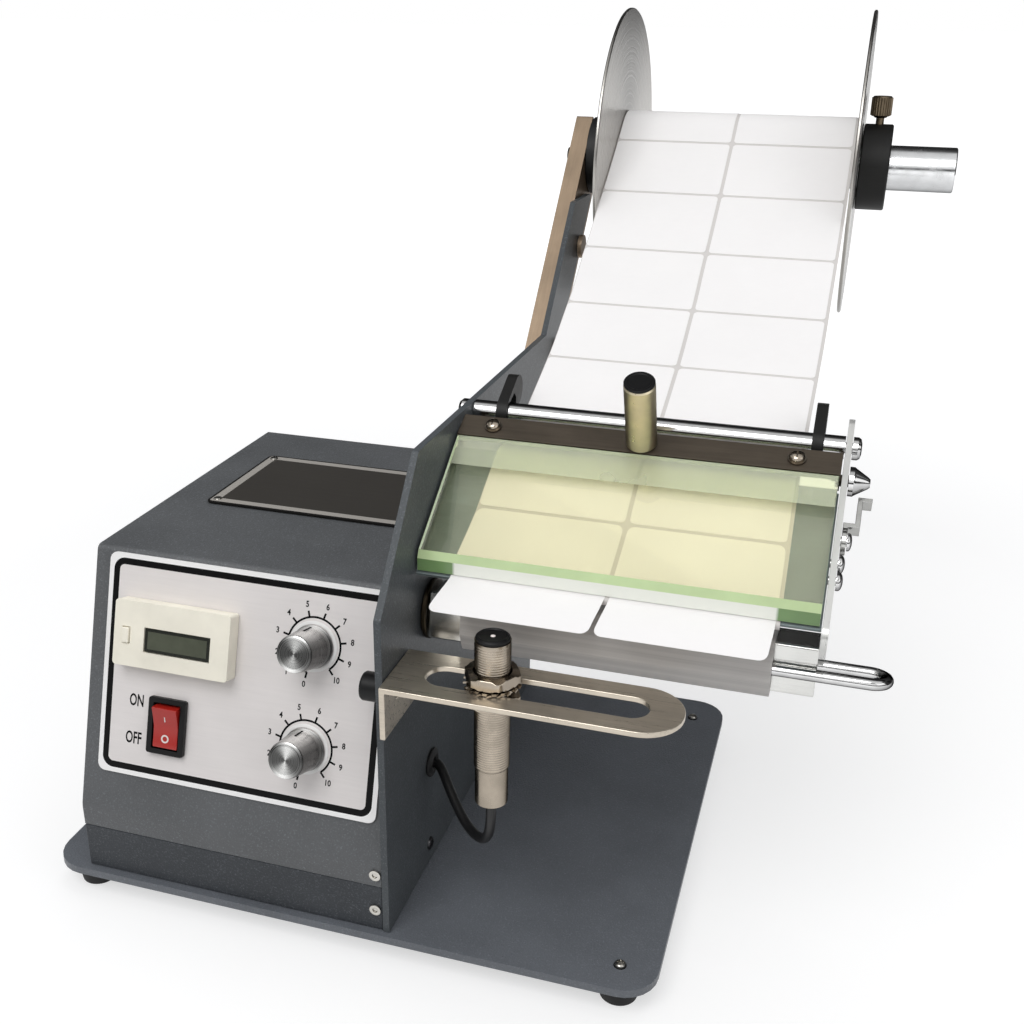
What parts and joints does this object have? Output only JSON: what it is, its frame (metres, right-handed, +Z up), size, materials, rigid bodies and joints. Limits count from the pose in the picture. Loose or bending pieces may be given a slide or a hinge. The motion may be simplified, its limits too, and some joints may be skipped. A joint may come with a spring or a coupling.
{
  "type": "label dispenser",
  "caption": "Bench-top label dispenser: side plate, control box, reel on an arm, hold-down glass over a peeling stage, motor take-up for the backing strip and a sensor on a slotted bracket.",
  "frame": {"origin": "middle of the footprint of the whole machine, at the soles of the feet", "axes": "+X to the operator's right along the reel and the rollers, +Y back from the operator to the reel, +Z up"},
  "size_m": [0.3068, 0.3686, 0.318],
  "materials": {
    "hammered": "hammered dark grey powder coat",
    "foot_rubber": "matt black",
    "panel": "silver printed sheet",
    "ivory": "ivory",
    "lcd": "dark olive window",
    "black_plastic": "black",
    "red": "glossy red",
    "knob": "spun",
    "steel": "plain",
    "warm_steel": "warm brushed",
    "nickel": "bright nickel",
    "chrome": "mirror bright",
    "disc": "fine brushed",
    "brass": "plain",
    "paper": "white label stock",
    "liner": "waxed backing",
    "glass": "clear, pale green",
    "board": "green circuit board"
  },
  "bodies": {
    "base": {"base_plate": "hammered", "foot_front_left": "foot_rubber", "foot_front_right": "foot_rubber", "foot_rear_left": "foot_rubber", "foot_rear_right": "foot_rubber", "chassis_tray": "hammered", "housing_cover": "hammered", "control_panel": "panel", "counter_body": "ivory", "counter_window": "lcd", "switch_bezel": "black_plastic", "length_potentiometer": "steel", "speed_potentiometer": "steel", "top_plate": "black_plastic", "side_plate": "hammered", "reel_arm": "warm_steel", "reel_spindle": "black_plastic", "stage_plate": "steel", "end_plate": "chrome", "stage_screw_lower": "steel", "stage_screw_upper": "steel", "latch_screw": "steel", "guide_rod": "chrome", "label_web": "paper", "shaft_bushing": "brass", "gear_motor": "steel", "sensor_bracket": "warm_steel", "sensor_cable": "foot_rubber", "cable_grommet": "foot_rubber", "control_board": "board", "power_inlet": "black_plastic"},
    "length_dial": {"length_knob": "knob"},
    "speed_dial": {"speed_knob": "knob"},
    "rocker": {"power_rocker": "red"},
    "reset_button": {"counter_reset": "ivory"},
    "sensor": {"sensor_body": "nickel", "sensor_cap": "black_plastic", "sensor_nut_upper": "nickel", "sensor_nut_lower": "nickel"},
    "bracket_screw": {"bracket_knob": "black_plastic"},
    "hold_down": {"hold_down_bar": "warm_steel", "cover_glass": "glass", "bar_screw_left": "nickel", "bar_screw_right": "nickel", "lift_post": "nickel", "pivot_cap_nut": "chrome"},
    "latch": {"latch_lever": "chrome"},
    "guide_left": {"edge_guide_left": "black_plastic"},
    "guide_right": {"edge_guide_right": "black_plastic"},
    "take_up": {"take_up_shaft": "chrome", "liner_winding": "liner", "drive_gear": "brass"},
    "clip": {"hairpin_clip": "chrome"},
    "pinion": {"motor_pinion": "steel"},
    "reel": {"reel_tube": "knob", "disc_left": "disc", "label_roll": "paper"},
    "disc_clamp": {"disc_right": "disc", "disc_collar": "black_plastic"},
    "clamp_screw": {"collar_screw": "warm_steel"}
  },
  "joints": [
    {"name": "length_dial_turn", "type": "hinge", "parent": "base", "child": "length_dial", "pos_m": [-0.04765, -0.15627, 0.11175], "axis": [0, -0.954, 0.2997], "range_deg": [-150, 150]},
    {"name": "speed_dial_turn", "type": "hinge", "parent": "base", "child": "speed_dial", "pos_m": [-0.04765, -0.16736, 0.07646], "axis": [0, -0.954, 0.2997], "range_deg": [-150, 150]},
    {"name": "power_rocker_tip", "type": "hinge", "parent": "base", "child": "rocker", "pos_m": [-0.10185, -0.16848, 0.0759], "axis": [-1, 0, 0], "range_deg": [0, 18]},
    {"name": "counter_reset_press", "type": "slide", "parent": "base", "child": "reset_button", "axis": [0, 0.954, -0.2997], "range_m": [0, 0.0008], "stiffness_N_per_m": 600},
    {"name": "sensor_shift", "type": "slide", "parent": "base", "child": "sensor", "axis": [1, 0, 0], "range_m": [-0.016, 0.045]},
    {"name": "bracket_screw_turn", "type": "hinge", "parent": "base", "child": "bracket_screw", "pos_m": [-0.01295, -0.17043, 0.1087], "axis": [1, 0, 0], "continuous": true},
    {"name": "hold_down_lift", "type": "hinge", "parent": "base", "child": "hold_down", "pos_m": [0.05405, -0.09643, 0.1725], "axis": [-1, 0, 0], "range_deg": [0, 40]},
    {"name": "latch_lever_lift", "type": "hinge", "parent": "base", "child": "latch", "pos_m": [0.12435, -0.11152, 0.15683], "axis": [1, 0, 0], "range_deg": [0, 60]},
    {"name": "guide_left_shift", "type": "slide", "parent": "base", "child": "guide_left", "axis": [1, 0, 0], "range_m": [-0.008, 0]},
    {"name": "guide_right_shift", "type": "slide", "parent": "base", "child": "guide_right", "axis": [1, 0, 0], "range_m": [0, 0.007]},
    {"name": "take_up_spin", "type": "hinge", "parent": "base", "child": "take_up", "pos_m": [0.05405, -0.13193, 0.121], "axis": [1, 0, 0], "continuous": true},
    {"name": "pinion_spin", "type": "hinge", "parent": "base", "child": "pinion", "pos_m": [-0.02395, -0.12012, 0.10999], "axis": [1, 0, 0], "continuous": true},
    {"name": "clip_pull", "type": "slide", "parent": "take_up", "child": "clip", "axis": [1, 0, 0], "range_m": [0, 0.12]},
    {"name": "reel_spin", "type": "hinge", "parent": "base", "child": "reel", "pos_m": [0.05405, 0.11717, 0.2509], "axis": [1, 0, 0], "continuous": true},
    {"name": "disc_clamp_slide", "type": "slide", "parent": "reel", "child": "disc_clamp", "axis": [1, 0, 0], "range_m": [0, 0.025]},
    {"name": "clamp_screw_turn", "type": "hinge", "parent": "disc_clamp", "child": "clamp_screw", "pos_m": [0.11785, 0.11717, 0.2725], "axis": [0, 0, 1], "continuous": true}
  ],
  "couplings": [
    {"joint": "pinion_spin", "follows": "take_up_spin", "ratio": -2.2}
  ]
}
